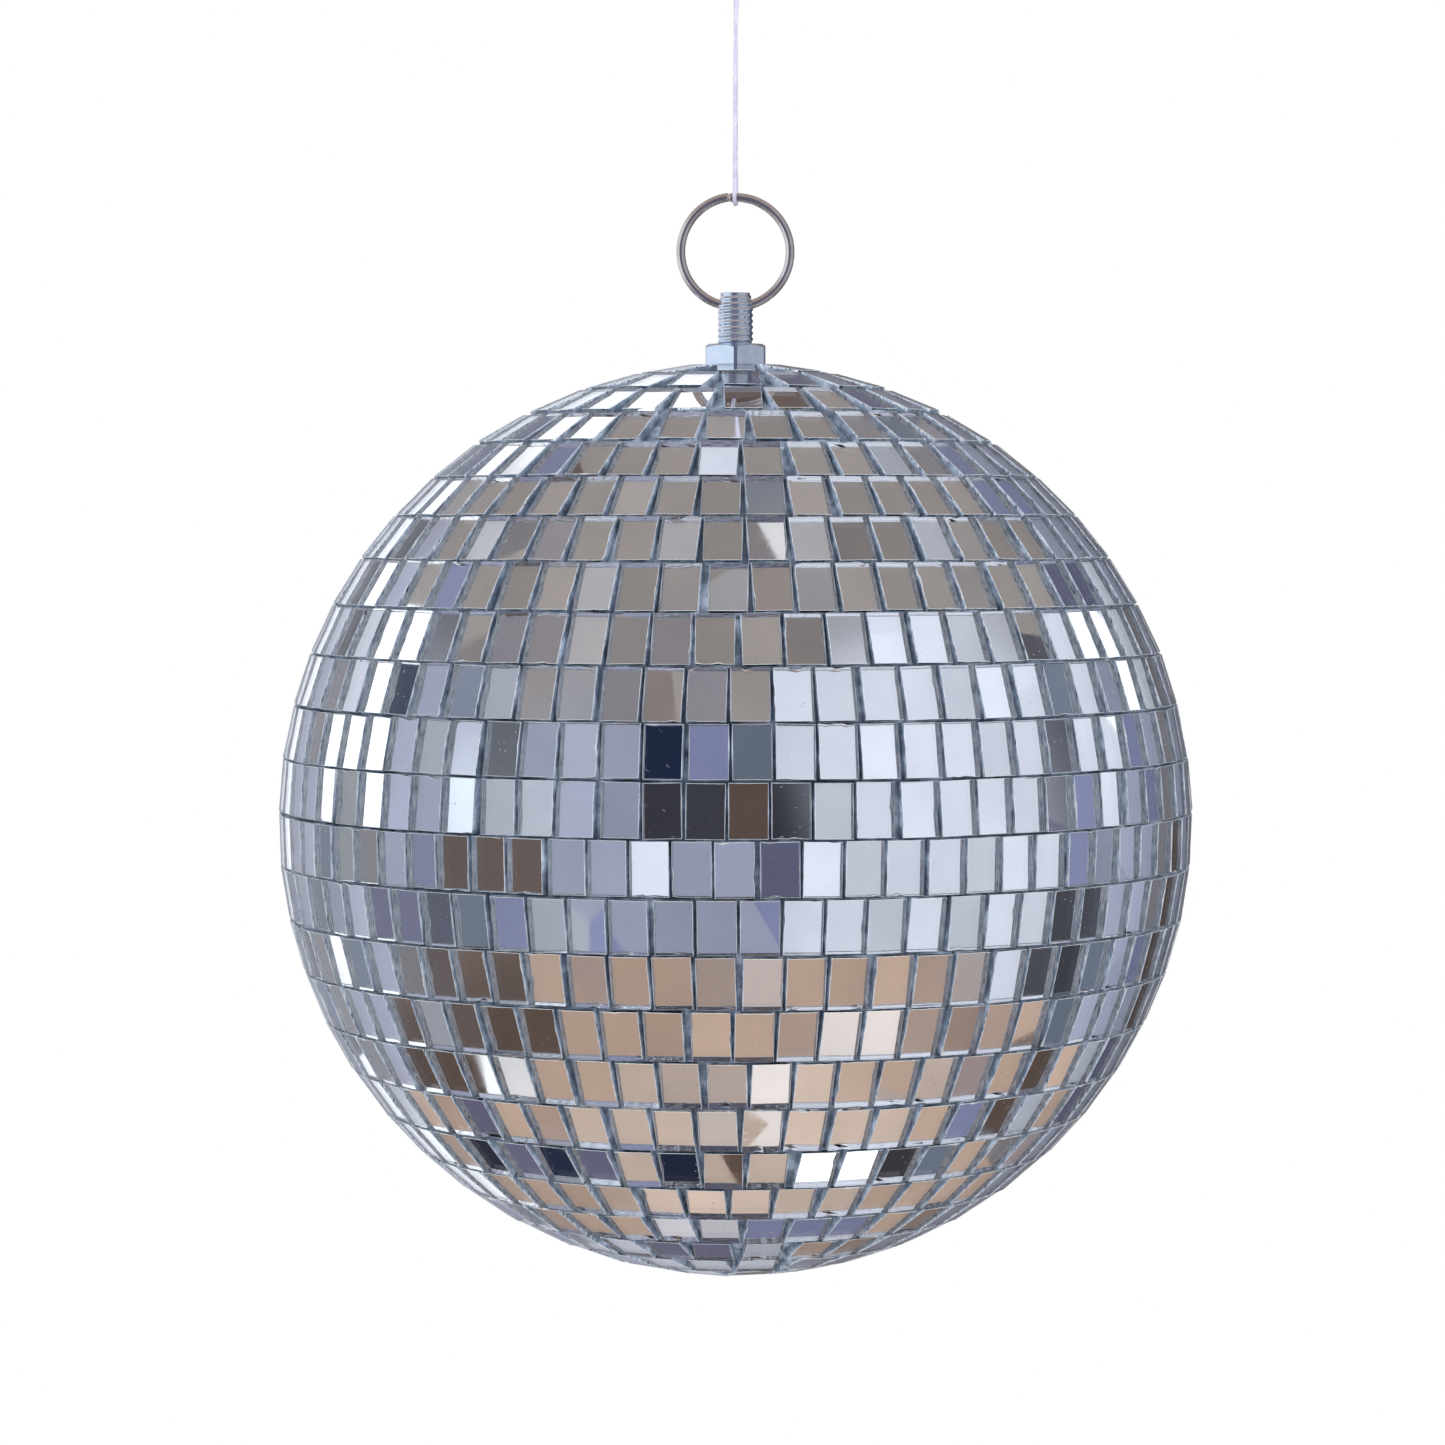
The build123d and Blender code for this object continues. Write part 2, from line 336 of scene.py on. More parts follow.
def piece(name, points, faces, materials, body, indices=None, smooth=True):
    """A mesh piece from points in metres, riding on a body, with the materials it is given."""
    mesh = bpy.data.meshes.new(name)
    mesh.from_pydata([tuple(p) for p in points], [], faces)
    for one in materials:
        mesh.materials.append(one)
    if indices:
        mesh.polygons.foreach_set("material_index", indices)
    mesh.polygons.foreach_set("use_smooth", [smooth] * len(mesh.polygons))
    made = bpy.data.objects.new(name, mesh)
    scene.collection.objects.link(made)
    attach(made, body)
    return made


def band_faces(rows, columns, start=0):
    """Quads between neighbouring rings of points, each ring closed."""
    faces = []
    for row in range(rows - 1):
        for column in range(columns):
            a = start + row * columns + column
            b = start + row * columns + (column + 1) % columns
            faces.append((a, b, b + columns, a + columns))
    return faces


class Rings:
    """Points and faces gathered ring by ring, for turned and swept shapes."""

    def __init__(self):
        self.points = []
        self.faces = []

    def sweep(self, rings, cap_start=True, cap_end=True):
        start = len(self.points)
        columns = len(rings[0])
        for ring in rings:
            self.points.extend(ring)
        self.faces.extend(band_faces(len(rings), columns, start))
        last = start + (len(rings) - 1) * columns
        if cap_start:
            self.faces.append(tuple(range(start + columns - 1, start - 1, -1)))
        if cap_end:
            self.faces.append(tuple(range(last, last + columns)))

    def turned(self, outline, columns=64):
        """A turned shape about the Z axis, from (radius, height) points, lowest first."""
        rings = []
        for radius, height in outline:
            rings.append([
                Vector((radius * cos(a), radius * sin(a), height))
                for a in (2 * pi * k / columns for k in range(columns))
            ])
        self.sweep(rings)


def circle_rings(path, radius_at, across, columns=16):
    """Rings of a round section along a path that lies in one plane; across is that plane's normal."""
    rings = []
    for k, centre in enumerate(path):
        ahead = path[min(k + 1, len(path) - 1)] - path[max(k - 1, 0)]
        side = ahead.cross(across).normalized()
        radius = radius_at(k)
        rings.append([
            centre + radius * (cos(a) * side + sin(a) * across)
            for a in (2 * pi * c / columns for c in range(columns))
        ])
    return rings


# Materials ----------------------------------------------------------------------------------------


def smears(graph):
    """Wiped glass: faint smears, and specks of dust that dull it."""
    smear = graph.noise(90.0, 4.0, 0.6)
    specks = graph.noise(1500.0, 2.0, 0.5)
    dull = graph.scaled(smear, 0.45, 0.75, 0.0, 0.035)
    speck = graph.scaled(specks, 0.72, 0.76, 0.0, 0.35)
    return {"Roughness": graph.math("ADD", dull, speck)}


def snapped(graph):
    """The scored and snapped edge of glass: fine ripples across it."""
    height = graph.noise(900.0, 3.0, 0.6)
    return {
        "Roughness": graph.scaled(graph.noise(400.0), 0.3, 0.7, 0.02, 0.12),
        "Normal": graph.bump(height, 0.0002, 0.35),
    }


def frosted(graph):
    """The broken sides of the glass: pale blue and frosted, with painted highlights as jagged white lines
    and painted shade as thin dark lines along them.
    """
    jags_and_painted_light = graph.noise(1.0, 4.0, 0.65, graph.stretched((2300, 2300, 420)))
    # the darkest stop is painted shade and the white stop a painted highlight; the blue greys between are
    # the glass's own tint
    colour = graph.ramp(
        jags_and_painted_light,
        [
            (0.37, linear((30, 38, 56))), (0.43, linear((166, 180, 200))),
            (0.54, linear((206, 217, 232))), (0.59, linear((255, 255, 255))),
        ],
    )
    return {
        "Base Color": colour,
        "Roughness": graph.scaled(jags_and_painted_light, 0.3, 0.7, 0.32, 0.5),
        "Normal": graph.bump(graph.noise(1300.0, 4.0, 0.7), 0.0002, 0.8),
    }


def ground(graph):
    """The rubbed corner of the glass, frosted and uneven."""
    return {
        "Roughness": graph.scaled(graph.noise(700.0), 0.3, 0.7, 0.2, 0.45),
        "Normal": graph.bump(graph.noise(1600.0, 4.0, 0.7), 0.0002, 0.8),
    }


def silvered(graph):
    """Silvering with the faint mottle of a sprayed coat."""
    coat = graph.noise(160.0, 4.0, 0.6)
    colour = graph.ramp(coat, [(0.3, linear((240, 243, 246))), (0.7, linear((248, 249, 251)))])
    return {"Base Color": colour, "Roughness": graph.scaled(coat, 0.3, 0.7, 0.0, 0.02)}


def glue(graph):
    """Grey-blue contact adhesive: pooled and skinned, lighter where it is thick."""
    pools = graph.noise(260.0, 5.0, 0.6)
    colour = graph.ramp(
        pools,
        [(0.3, linear((70, 80, 94))), (0.5, linear((118, 131, 148))), (0.72, linear((196, 206, 220)))],
    )
    return {
        "Base Color": colour,
        "Roughness": graph.scaled(graph.noise(700.0), 0.3, 0.7, 0.18, 0.5),
        "Normal": graph.bump(graph.noise(1200.0, 4.0, 0.65), 0.0003, 0.7),
    }


def zinc(graph):
    """Bright zinc plate: a bluish mottle, fine turning marks and rubbed spots."""
    spangle = graph.noise(500.0, 4.0, 0.6)
    colour = graph.ramp(
        spangle,
        [(0.25, linear((206, 219, 236))), (0.55, linear((224, 233, 244))), (0.8, linear((238, 243, 249)))],
    )
    marks = graph.noise(1.0, 3.0, 0.6, graph.stretched((200, 200, 1500)))
    return {
        "Base Color": colour,
        "Roughness": graph.scaled(spangle, 0.3, 0.7, 0.16, 0.26),
        "Normal": graph.bump(marks, 0.000008, 0.12),
    }


def nickel(graph):
    """Drawn nickel-plated wire: smooth, warm grey, with drawing marks and small dull patches."""
    patches = graph.noise(300.0, 4.0, 0.6)
    colour = graph.ramp(
        patches,
        [(0.3, linear((208, 196, 190))), (0.6, linear((228, 218, 212))), (0.8, linear((238, 232, 228)))],
    )
    return {
        "Base Color": colour,
        "Roughness": graph.scaled(patches, 0.3, 0.7, 0.14, 0.22),
        "Normal": graph.bump(patches, 0.00002, 0.12),
    }


def nylon(graph):
    """Clear nylon line, slightly milky, with fine die lines."""
    cloud = graph.noise(400.0, 3.0, 0.5)
    colour = graph.ramp(cloud, [(0.3, linear((204, 199, 220))), (0.7, linear((228, 224, 238)))])
    lines = graph.noise(1.0, 2.0, 0.5, graph.stretched((9000, 9000, 200)))
    return {
        "Base Color": colour,
        "Roughness": graph.scaled(cloud, 0.3, 0.7, 0.12, 0.22),
        "Normal": graph.bump(lines, 0.000004, 0.12),
    }


def moulded(graph):
    """Grey moulded plastic with a fine spark-eroded skin and faint flow marks."""
    flow = graph.noise(1.0, 3.0, 0.6, graph.stretched((40, 40, 160)))
    colour = graph.ramp(flow, [(0.3, linear((150, 154, 160))), (0.7, linear((172, 176, 182)))])
    return {
        "Base Color": colour,
        "Roughness": graph.scaled(graph.noise(800.0), 0.3, 0.7, 0.4, 0.6),
        "Normal": graph.bump(graph.noise(2500.0, 3.0, 0.6), 0.00005, 0.6),
    }


GLASS_CLEAR = (0.965, 0.985, 0.99, 1)
GLASS_EDGE = (0.80, 0.90, 0.95, 1)
mirror_front = material(
    "mirror_front", smears, Base_Color=GLASS_CLEAR, Transmission_Weight=1.0, IOR=1.5
)
mirror_edge = material(
    "mirror_edge", snapped, Base_Color=GLASS_EDGE, Transmission_Weight=1.0, IOR=1.5
)
mirror_side = material("mirror_side", frosted, Transmission_Weight=0.3, IOR=1.5)
mirror_arris = material(
    "mirror_arris", ground, Base_Color=GLASS_CLEAR, Transmission_Weight=0.45, IOR=1.5
)
mirror_silver = material("mirror_silver", silvered, Metallic=1.0)
adhesive = material("adhesive", glue, Specular_IOR_Level=0.5)
zinc_plate = material("zinc_plate", zinc, Metallic=1.0)
nickel_plate = material("nickel_plate", nickel, Metallic=1.0)
clear_nylon = material("clear_nylon", nylon, Transmission_Weight=0.32, IOR=1.53)
core_skin = material("core_skin", moulded)


# Nylon line ---------------------------------------------------------------------------------------

LINE_R = 0.325 * MM


def line_curve(name, route):
    """A cord's curve, a NURBS spline with the route's points as its control points."""
    curve = bpy.data.curves.new(name, "CURVE")
    curve.dimensions = "3D"
    curve.bevel_depth = LINE_R
    curve.bevel_resolution = 5
    curve.resolution_u = 16
    curve.use_fill_caps = True
    spline = curve.splines.new("NURBS")
    spline.points.add(len(route) - 1)
    for point, place in zip(spline.points, route):
        point.co = (*place, 1.0)
    spline.order_u = 3
    spline.use_endpoint_u = True
    curve.materials.append(clear_nylon)
    made = bpy.data.objects.new(name, curve)
    scene.collection.objects.link(made)
    return made


LOWER_ROUTE = [
    (0, 0, -0.032),
    (0, 0, -0.034),
    (0, 0.00037, -0.0366),
    (0.0001, 0.00115, -0.0716),
    (0.00022, 0.0013, -0.07562),
    (-0.00022, -0.0013, -0.07562),
    (-0.0001, -0.00115, -0.0716),
    (0, -0.00037, -0.0372),
    (0.0015, -0.0011, -0.0348),
]
UPPER_ROUTE = [
    (0, 0, -0.032),
    (0, 0, -0.030),
    (0, -0.00037, -0.0280),
    (0, -0.00200, -0.0170),
    (0, 0.00200, -0.0170),
    (0, 0.00037, -0.0274),
    (-0.0015, 0.0011, -0.0298),
]

WRAPS = 5
WRAP_STEPS = 24  # to a turn
WRAP_COLUMNS = 12
WRAP_REACH = (0.72 * MM, 0.98 * MM)  # from the knot's middle to the wrapped line's, along X and Y
WRAP_END = 0.35  # the wrapping's first and last ring, over the line's size
WRAP_GROWTH = 0.25  # how much each ring after it grows, up to the full size


def knot(name, node, body):
    """A barrel knot: the line wound round its own two strands."""
    low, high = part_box(node)
    middle = (low + high) / 2
    steps = WRAP_STEPS * WRAPS
    rise = (high.z - low.z - 2 * LINE_R) / steps
    path = []
    for k in range(steps + 1):
        angle = 2 * pi * k / WRAP_STEPS
        reach = Vector((WRAP_REACH[0] * cos(angle), WRAP_REACH[1] * sin(angle), 0))
        path.append(middle + reach + Vector((0, 0, (k - steps / 2) * rise)))
    rings = []
    for k, centre in enumerate(path):
        ahead = (path[min(k + 1, steps)] - path[max(k - 1, 0)]).normalized()
        side = ahead.cross(Vector((0, 0, 1))).normalized()
        up = side.cross(ahead)
        size = LINE_R * min(1.0, WRAP_END + WRAP_GROWTH * min(k, steps - k))
        rings.append([
            centre + size * (cos(a) * side + sin(a) * up)
            for a in (2 * pi * c / WRAP_COLUMNS for c in range(WRAP_COLUMNS))
        ])
    shape = Rings()
    shape.sweep(rings)
    made = piece(name, shape.points, shape.faces, [clear_nylon], body)
    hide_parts(node)
    return made


lower_cord = line_curve("nylon_line_lower", LOWER_ROUTE)
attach(lower_cord, "line")
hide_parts("line_lower")
lower_wraps = knot("line_knot_lower", "lower_knot", "line")

upper_cord = line_curve("nylon_line_upper", UPPER_ROUTE)
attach(upper_cord, "hanger")
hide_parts("line_upper")
upper_wraps = knot("line_knot_upper", "upper_knot", "hanger")


# Mirror tiles -------------------------------------------------------------------------------------

EDGE_STEPS = 5  # points along each side of a tile
EDGE_JITTER = 0.06  # how far a point slips along its side, over the side's length
ARRIS = 0.05 * MM
WEAR = 0.02 * MM  # how far the edges wander
CHIP_CHANCE = 0.05
CHIP = (0.1, 0.32)  # a chip's size in millimetres
TILE_SINK = (0.05, 0.12)  # how far a tile is pressed into the glue, in millimetres
TILE_SLIP = 0.05  # how far it sits out of line, in millimetres
TILT = 0.55  # degrees, one standard deviation
ROLL = 0.6  # the same, for a turn about the way the tile faces
MOST_ROLL = 1.5
WANDER = 0.07 * MM  # how far a row drifts up and down on its way round
# A tile's three rings of points, front to back: the height over its depth, how far in and how far down
# from there, and the shares of a chip that go in and down
TILE_RINGS = ((0.5, ARRIS, 0.0, 1.0, 0.0), (0.5, 0.0, ARRIS, 0.75, 0.9), (-0.5, 0.0, 0.0, 0.0, 0.0))
FRONT, EDGE, RUBBED, BACK, SIDE = range(5)  # material slots, in the order that tile_rows gives them
# The glue's bead round a tile, from the glass outwards: its reach in millimetres, then its height and the
# height's spread over the tile's depth
GLUE_RINGS = ((-0.02, 0.2, 0.10), (0.12, 0.02, 0.16), (0.2, -0.62, 0.0))
GLUE_RISE = 0.25  # how much higher one tile's bead may be than another's
GLUE_SAG = 0.2  # how much lower it lies above and below a tile than beside it
GLUE_SINK = 0.05 * MM


class Tile:
    """One tile's middle, axes and size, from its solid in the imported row."""

    def __init__(self, corners):
        self.middle = sum(corners, Vector()) / len(corners)
        self.out = (self.middle - BALL).normalized()
        pole = abs(self.out.z) > 0.999
        top = Vector((0, 1, 0)) if pole else Vector((0, 0, 1))
        self.up = (top - top.dot(self.out) * self.out).normalized()
        self.side = self.up.cross(self.out)
        arms = [corner - self.middle for corner in corners]
        self.width = 2 * max(arm.dot(self.side) for arm in arms)
        self.height = 2 * max(arm.dot(self.up) for arm in arms)
        self.depth = 2 * max(arm.dot(self.out) for arm in arms)


def tiles_of(node):
    """The tiles of a packed row, in order round the axis."""
    mesh = bmesh.new()
    mesh.from_mesh(node.data)
    bmesh.ops.remove_doubles(mesh, verts=mesh.verts, dist=0.005 * MM)
    seen = set()
    found = []
    for first in mesh.verts:
        if first in seen:
            continue
        seen.add(first)
        group = [first]
        for vert in group:
            for edge in vert.link_edges:
                other = edge.other_vert(vert)
                if other not in seen:
                    seen.add(other)
                    group.append(other)
        found.append(Tile([v.co.copy() for v in group]))
    mesh.free()
    return sorted(found, key=lambda t: round(atan2(t.middle.y, t.middle.x), 4))


def tile_outline(width, height, draw):
    """Points round a tile's edge, each with how far it is worn in and how far it is chipped."""
    corners = [(-1, -1), (1, -1), (1, 1), (-1, 1)]
    outline = []
    for (x0, y0), (x1, y1) in zip(corners, corners[1:] + corners[:1]):
        for step in range(EDGE_STEPS):
            share = step / EDGE_STEPS
            if step:
                share += draw.uniform(-EDGE_JITTER, EDGE_JITTER)
            x = (x0 + (x1 - x0) * share) * width / 2
            y = (y0 + (y1 - y0) * share) * height / 2
            wear = draw.uniform(0.0, WEAR)
            chip = draw.uniform(*CHIP) * MM if draw.random() < CHIP_CHANCE else 0.0
            outline.append((x, y, wear, chip))
    return outline


def is_upright(k):
    """Whether point k of an outline lies on one of its two upright sides."""
    return (k // EDGE_STEPS) % 2 == 1


def pulled_in(x, y, by):
    """The point x, y moved towards the middle by a distance."""
    reach = hypot(x, y)
    return x * (1 - by / reach), y * (1 - by / reach)


def add_tile(tile, draw, drift, points, faces, indices):
    """One glass slab, drifted up or down its row, worn and chipped in front and silvered behind."""
    tilt = Matrix.Rotation(radians(draw.gauss(0, TILT)), 3, tile.side)
    swing = Matrix.Rotation(radians(draw.gauss(0, TILT)), 3, tile.up)
    rolled = max(-MOST_ROLL, min(MOST_ROLL, draw.gauss(0, ROLL)))
    roll = Matrix.Rotation(radians(rolled), 3, tile.out)
    turn = tilt @ swing @ roll
    side, up, out = turn @ tile.side, turn @ tile.up, turn @ tile.out
    middle = tile.middle - tile.out * draw.uniform(*TILE_SINK) * MM
    middle += tile.side * draw.uniform(-TILE_SLIP, TILE_SLIP) * MM
    middle += tile.up * (drift + draw.uniform(-TILE_SLIP, TILE_SLIP) * MM)
    outline = tile_outline(tile.width, tile.height, draw)
    count = len(outline)
    rings = []

    def place(u, v, lift):
        return middle + u * side + v * up + lift * out

    for depth, inward, fall, chipped_in, chipped_down in TILE_RINGS:
        for x, y, wear, chip in outline:
            u, v = pulled_in(x, y, wear + inward + chipped_in * chip)
            rings.append(place(u, v, depth * tile.depth - fall - chip * chipped_down))
    start = len(points)
    points.extend(rings)
    front = [start + k for k in range(count)]
    back = [start + 2 * count + k for k in reversed(range(count))]
    faces.append(tuple(front))
    indices.append(FRONT)
    faces.append(tuple(back))
    indices.append(BACK)
    for level in (0, 1):
        for k in range(count):
            a = start + level * count + k
            b = start + level * count + (k + 1) % count
            faces.append((a, a + count, b + count, b))
            if level == 0:
                indices.append(RUBBED)
            else:
                indices.append(SIDE if is_upright(k) else EDGE)
    return outline, place


def add_fillet(outline, place, depth, draw, points, faces):
    """Glue squeezed up round a tile's sides: a bead against the glass, falling to the bed."""
    count = len(outline)
    start = len(points)
    rise = draw.uniform(0.0, GLUE_RISE)
    for reach, level, spread in GLUE_RINGS:
        for k, (x, y, wear, _) in enumerate(outline):
            sag = draw.uniform(-spread, spread)
            if spread and not is_upright(k):
                sag -= GLUE_SAG
            u, v = pulled_in(x, y, wear - reach * MM)
            points.append(place(u, v, (level + sag + (rise if spread else 0)) * depth - GLUE_SINK))
    faces.extend(band_faces(len(GLUE_RINGS), count, start))


def tile_rows():
    """Each packed row as a piece of glass tiles, and one piece for the glue's beads round all of them."""
    looks = [mirror_front, mirror_edge, mirror_arris, mirror_silver, mirror_side]
    glue_points, glue_faces = [], []
    for name in sorted(n for n in nodes if n.startswith("tile_row") or n == "pole_tile"):
        draw = random.Random(name)
        points, faces, indices = [], [], []
        waves = draw.randint(2, 4)
        start = draw.uniform(0, 2 * pi)
        for tile in tiles_of(nodes[name]):
            drift = WANDER * sin(waves * atan2(tile.middle.y, tile.middle.x) + start)
            outline, place = add_tile(tile, draw, drift, points, faces, indices)
            add_fillet(outline, place, tile.depth, draw, glue_points, glue_faces)
        label = name.replace("tile_row", "mirror_row").replace("pole_tile", "mirror_pole")
        made = piece(label, points, faces, looks, "ball", indices, smooth=False)
        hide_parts(name)
    piece("adhesive_fillets", glue_points, glue_faces, [adhesive], "ball")


tile_rows()


# Adhesive -----------------------------------------------------------------------------------------

ADHESIVE_DEPTH = 0.06 * MM  # the least depth of the glue below the tiles' backs
POOLS = 0.128 * MM  # how far the surface sinks on average in wide pools, and in small pits
PITS = 0.04 * MM
POOL_SCALE = 60
PIT_SCALE = 190
NUT_CLEARANCE = 1.12  # the opening's radius over the nut's
BOTTOM = 0.998  # where the layer's rings end, over the quarter turn down to the bottom


def adhesive_layer():
    """The glue under the tiles, with an uneven, pooled surface, open round the nut."""
    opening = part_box("outer_nut")[1].y * NUT_CLEARANCE
    rows, columns = 230, 420
    top = sqrt(1 - (opening / BED_R) ** 2)
    low, high = -pi / 2 * BOTTOM, atan2(top, opening / BED_R)
    rings = []
    for row in range(rows + 1):
        latitude = low + (high - low) * row / rows
        ring = []
        for column in range(columns):
            angle = 2 * pi * column / columns
            way = Vector((cos(latitude) * cos(angle), cos(latitude) * sin(angle), sin(latitude)))
            pools = POOLS * (1 + noise.noise(way * POOL_SCALE))
            sink = pools + PITS * (1 + noise.noise(way * PIT_SCALE))
            ring.append(BALL + way * (BED_R - ADHESIVE_DEPTH - sink))
        rings.append(ring)
    shape = Rings()
    shape.sweep(rings, cap_end=False)
    made = piece("adhesive_layer", shape.points, shape.faces, [adhesive], "ball")
    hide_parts("adhesive_bed")


adhesive_layer()


# Stud, nut and ring -------------------------------------------------------------------------------

PITCH = 1.0 * MM
THREAD = 0.24 * MM  # the thread's depth
THREAD_FADE = 0.45  # the share of that depth that is gone at the stud's top
TAPER = 2.3 * MM  # the taper's length at the stud's top, and how far in it goes
TAPER_IN = 0.45 * MM
CHAMFER = 0.7 * MM  # the same at its bottom
CHAMFER_IN = 0.6 * MM
WIRE_LIFT = 0.25 * MM  # how much higher than the hole's middle the wire lies in it
# The drill for the cross hole, on one side of the stud's middle: distance and radius
DRILL = [(2.2 * MM, 1.5 * MM), (2.8 * MM, 1.9 * MM), (5 * MM, 2.6 * MM)]
COUNTERSINK = 0.35 * MM
BORE_GAP = 0.03 * MM
NUT_FACE = 0.9  # the round face's radius over half the width across flats
NUT_CORNER = 0.968  # the rubbed corners' radius over the sharp ones'
BUTT = 97  # where the ring's ends meet, in degrees from +X towards +Z
BUTT_GAP = 0.04 * MM
BUTT_STEP = 0.12 * MM  # how far one end stands proud of the other
WIRE_SIZE = 0.99  # the drawn wire over the CAD's, and its rounded ends
WIRE_END = 0.88


def thread_rings(low, high, limit, depth_at, pitch, columns=64, per_pitch=12):
    """Rings of a rod with a helical thread between two heights; limit(z) is the radius over its crests."""
    count = int(round((high - low) / pitch * per_pitch))
    rings = []
    for row in range(count + 1):
        z = low + (high - low) * row / count
        ring = []
        for column in range(columns):
            angle = 2 * pi * column / columns
            phase = (z / pitch - column / columns) % 1.0
            groove = 0.5 + 0.5 * cos(2 * pi * (phase - 0.5))
            radius = limit(z) - depth_at(z) * groove
            ring.append(Vector((radius * cos(angle), radius * sin(angle), z)))
        rings.append(ring)
    return rings


def cut(target, cutter):
    """Cuts one piece with another by a boolean, and drops the cutter."""
    modifier = target.modifiers.new("cut", "BOOLEAN")
    modifier.operation = "DIFFERENCE"
    modifier.solver = "EXACT"
    modifier.object = cutter
    bpy.context.view_layer.update()
    graph = bpy.context.evaluated_depsgraph_get()
    mesh = bpy.data.meshes.new_from_object(target.evaluated_get(graph))
    target.modifiers.clear()
    target.data = mesh
    bpy.data.objects.remove(cutter)


def threaded_stud():
    """The stud: a worn thread that fades up the taper, and the ring's hole drilled across it."""

    def up_the_taper(z):
        return max(0.0, (z - stud_high.z + TAPER) / TAPER)

    def limit(z):
        near_bottom = max(0.0, (stud_low.z + CHAMFER - z) / CHAMFER)
        return stud_high.x - TAPER_IN * up_the_taper(z) - CHAMFER_IN * near_bottom

    def depth_at(z):
        return THREAD * (1 - THREAD_FADE * up_the_taper(z))

    shape = Rings()
    shape.sweep(thread_rings(stud_low.z, stud_high.z, limit, depth_at, PITCH))
    made = piece("threaded_stud", shape.points, shape.faces, [zinc_plate], "ball")
    hole = Rings()
    height = RING.z - RING_R - WIRE_LIFT
    sections = [(-x, size) for x, size in reversed(DRILL)] + DRILL
    path = [Vector((x, 0, height)) for x, _ in sections]
    hole.sweep(circle_rings(path, lambda k: sections[k][1], Vector((0, 1, 0)), 32))
    drill = piece("drill", hole.points, hole.faces, [zinc_plate], "ball")
    cut(made, drill)
    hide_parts("stud")


def hex_nut(name, node):
    """A nut with the curved chamfer lines that a cone leaves on six flats, and a countersunk bore."""
    low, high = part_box(node)
    corner = high.y
    flat = corner * cos(radians(30))
    slope = tan(radians(30))
    face = flat * NUT_FACE
    bore = stud_high.x + BORE_GAP
    columns = 120
    sections = []
    for k in range(columns):
        angle = 2 * pi * k / columns
        to_flat = (angle + radians(30)) % radians(60) - radians(30)
        edge = min(flat / cos(to_flat), corner * NUT_CORNER)
        drop = (edge - face) * slope
        outline = [
            (bore, low.z + COUNTERSINK), (bore + COUNTERSINK, low.z), (face, low.z),
            (edge, low.z + drop), (edge, high.z - drop),
            (face, high.z), (bore + COUNTERSINK, high.z), (bore, high.z - COUNTERSINK),
        ]
        sections.append([Vector((radius * cos(angle), radius * sin(angle), z)) for radius, z in outline])
    rings = list(zip(*sections))
    shape = Rings()
    shape.sweep(rings, cap_start=False, cap_end=False)
    last = (len(rings) - 1) * columns
    for k in range(columns):
        after = (k + 1) % columns
        shape.faces.append((last + k, last + after, after, k))
    made = piece(name, shape.points, shape.faces, [zinc_plate], "ball", smooth=False)
    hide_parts(node)


def wire_ring():
    """The ring: round wire bent to a circle, its two ends butted beside the line, one a little proud."""
    gap = BUTT_GAP / RING_R
    steps = 200
    path = []
    for k in range(steps + 1):
        share = k / steps
        angle = radians(BUTT) + gap / 2 + (2 * pi - gap) * share
        reach = RING_R - BUTT_STEP * (share - 0.5) ** 3 * 4
        path.append(RING + Vector((reach * cos(angle), 0, reach * sin(angle))))

    def radius_at(k):
        from_end = min(k, steps - k)
        return WIRE_R * (WIRE_SIZE if from_end > 0 else WIRE_END)

    shape = Rings()
    shape.sweep(circle_rings(path, radius_at, Vector((0, 1, 0)), 28))
    made = piece("wire_ring", shape.points, shape.faces, [nickel_plate], "ring")
    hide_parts("ring")


threaded_stud()
hex_nut("hex_nut_outer", "outer_nut")
wire_ring()


# Ceiling hook -------------------------------------------------------------------------------------

HOOK_WIRE = 1.3 * MM  # the wire's radius
HOOK_BOW = 5.5 * MM  # the bow's radius, to the wire's middle
HOOK_EYE = Vector((0, 0, BALL.z + 164.5 * MM))
HOOK_BEND = 60  # degrees, where the neck runs into the bow, and where the bow ends
HOOK_END = -195
HOOK_ROUNDING = (30, 55, 75)  # steps round the end of the wire, in degrees
COLLAR_T = 1.5 * MM
SCREW_R = 1.5 * MM
SCREW_TIP = 3.0 * MM
SCREW_POINT = 0.04  # the radius at the very tip over the screw's
SCREW_PITCH = 1.5 * MM
SCREW_THREAD = 0.26  # the thread's depth over the radius
SCREW_START = -0.1 * MM  # just inside the collar


def arc(centre, radius, start, end, steps):
    """Points on an arc in the XZ plane, between two angles in degrees from +X towards +Z."""
    found = []
    for k in range(steps + 1):
        angle = radians(start + (end - start) * k / steps)
        found.append(centre + Vector((radius * cos(angle), 0, radius * sin(angle))))
    return found


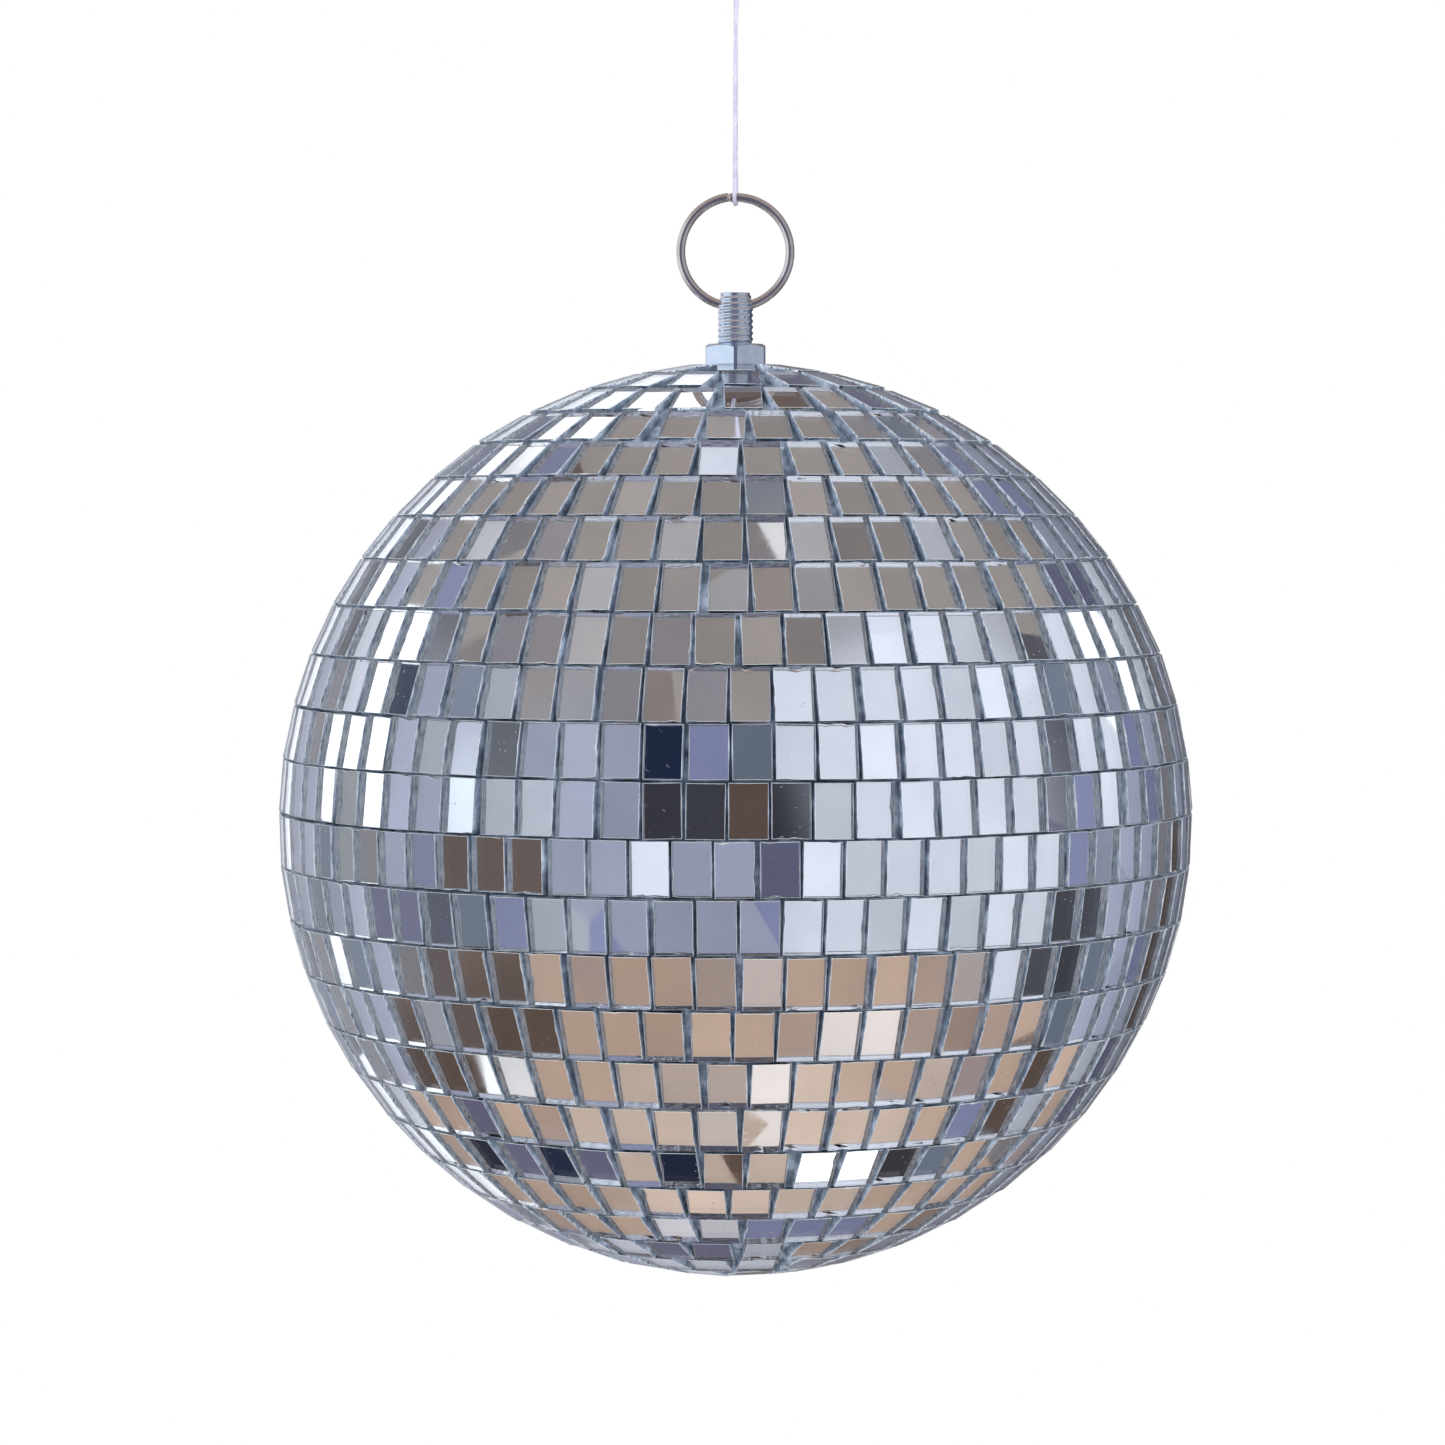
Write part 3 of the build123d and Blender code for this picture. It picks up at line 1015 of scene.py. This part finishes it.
def screw_hook():
    """Collar, wood screw above it, and the bent bow below, with a rounded end."""
    neck = HOOK_EYE + Vector((HOOK_BOW, 0, 2 * HOOK_BOW * sin(radians(HOOK_BEND))))
    path = [Vector((0, 0, -COLLAR_T * 0.6))]
    path += arc(neck, HOOK_BOW, 180, 180 + HOOK_BEND, 10)
    path += arc(HOOK_EYE, HOOK_BOW, HOOK_BEND, HOOK_END, 48)[1:]
    ahead = (path[-1] - path[-2]).normalized()
    bent = len(path)
    path += [path[-1] + ahead * HOOK_WIRE * sin(radians(a)) for a in HOOK_ROUNDING]

    def radius_at(k):
        return HOOK_WIRE * cos(radians((0, *HOOK_ROUNDING)[max(0, k - bent + 1)]))

    shape = Rings()
    shape.sweep(circle_rings(path, radius_at, Vector((0, 1, 0)), 20))
    collar = hook_high.x
    shape.turned([
        (collar * 0.5, -COLLAR_T), (collar * 0.86, -COLLAR_T), (collar * 0.97, -COLLAR_T * 0.8),
        (collar, -COLLAR_T * 0.5), (collar, -COLLAR_T * 0.12), (collar * 0.98, 0.0),
    ])

    def limit(z):
        return SCREW_R * min(1.0, max(SCREW_POINT, (hook_high.z - z) / SCREW_TIP))

    def depth_at(z):
        return SCREW_THREAD * limit(z)

    shape.sweep(thread_rings(SCREW_START, hook_high.z, limit, depth_at, SCREW_PITCH, 40))
    made = piece("screw_hook", shape.points, shape.faces, [zinc_plate], "hanger")
    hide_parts("ceiling_hook")


screw_hook()


# Inside the ball ----------------------------------------------------------------------------------

for name in ("core_upper", "core_lower"):
    nodes[name].data.materials.clear()
    nodes[name].data.materials.append(core_skin)
for name in ("inner_washer", "spring_washer", "inner_nut"):
    nodes[name].data.materials.clear()
    nodes[name].data.materials.append(zinc_plate)


# Floor --------------------------------------------------------------------------------------------

FLOOR_DROP = 1.1  # below the ball's middle
FLOOR_REACH = 4.0
FLOOR_FADE = (2.2, 3.9)  # distances between which it fades out
FLOOR_GLOW = 0.55
FLOOR_POINTS = 96


def floor_disc():
    """A pale floor far below the ball, fading into the white round its edge."""
    turns = [2 * pi * k / FLOOR_POINTS for k in range(FLOOR_POINTS)]
    ring = [(FLOOR_REACH * cos(a), FLOOR_REACH * sin(a), BALL.z - FLOOR_DROP) for a in turns]
    mesh = bpy.data.meshes.new("floor")
    mesh.from_pydata(ring, [], [tuple(range(FLOOR_POINTS))])
    made = bpy.data.objects.new("floor", mesh)
    scene.collection.objects.link(made)
    look = bpy.data.materials.new("floor")
    graph = Graph(look)
    place = graph.position()
    away = graph.add("VectorMath", {0: place}, operation="LENGTH").outputs["Value"]
    grain = graph.noise(6.0, 5.0, 0.6, place)
    colour = graph.ramp(grain, [(0.3, linear((232, 231, 229))), (0.7, linear((240, 239, 237)))])
    pale = graph.add("BsdfDiffuse", {0: colour}).outputs[0]
    glow = graph.add("Emission", {0: colour, 1: FLOOR_GLOW}).outputs[0]
    lit = graph.add("AddShader", {0: pale, 1: glow}).outputs[0]
    clear = graph.add("BsdfTransparent").outputs[0]
    fade = graph.between(away, *FLOOR_FADE)
    graph.add("OutputMaterial", {0: graph.add("MixShader", {0: fade, 1: lit, 2: clear}).outputs[0]})
    mesh.materials.append(look)
    made.visible_glossy = False
    made.visible_transmission = False


floor_disc()
